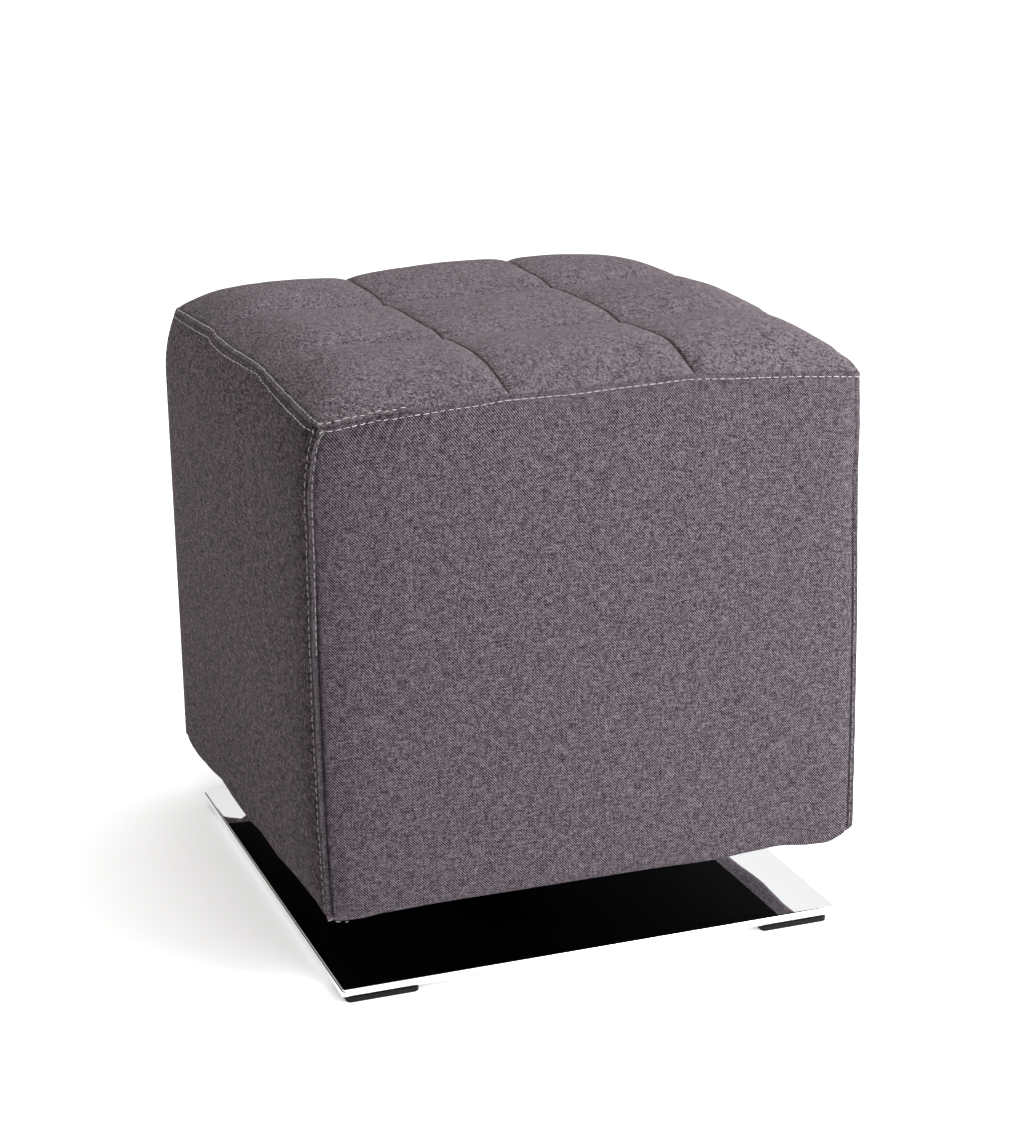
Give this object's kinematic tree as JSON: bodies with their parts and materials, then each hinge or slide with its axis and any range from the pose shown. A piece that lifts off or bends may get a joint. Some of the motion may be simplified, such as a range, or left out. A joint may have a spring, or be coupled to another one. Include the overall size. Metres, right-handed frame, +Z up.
{
  "type": "cube pouf stool",
  "caption": "Upholstered cube pouf stool with a crowned, quilted top, top-stitched seams and a turned-under hem, on a short hidden column over a square chromed floor plate.",
  "frame": {"origin": "middle of the whole stool's outline, on the floor", "axes": "+Z up, -Y the side that faces the viewer's right hand in the picture, -X the narrow side at the viewer's left"},
  "size_m": [0.4372, 0.4467, 0.4563],
  "materials": {
    "melange_cloth": "matt melange weave, grey mauve with light slubs",
    "melange_cloth_side": "the same weave on the upright sides",
    "black_under_cloth": "matt black lining cloth",
    "chrome": "mirror polished",
    "black_steel": "satin black",
    "black_plastic": "matt black"
  },
  "bodies": {
    "root": {"seat_top": "melange_cloth", "panel_front": "melange_cloth_side", "panel_right": "melange_cloth_side", "panel_back": "melange_cloth_side", "panel_left": "melange_cloth_side", "underside_board": "black_under_cloth", "column": "black_steel", "base_plate": "chrome", "pad_front_left": "black_plastic", "pad_front_right": "black_plastic", "pad_back_left": "black_plastic", "pad_back_right": "black_plastic"}
  },
  "joints": []
}
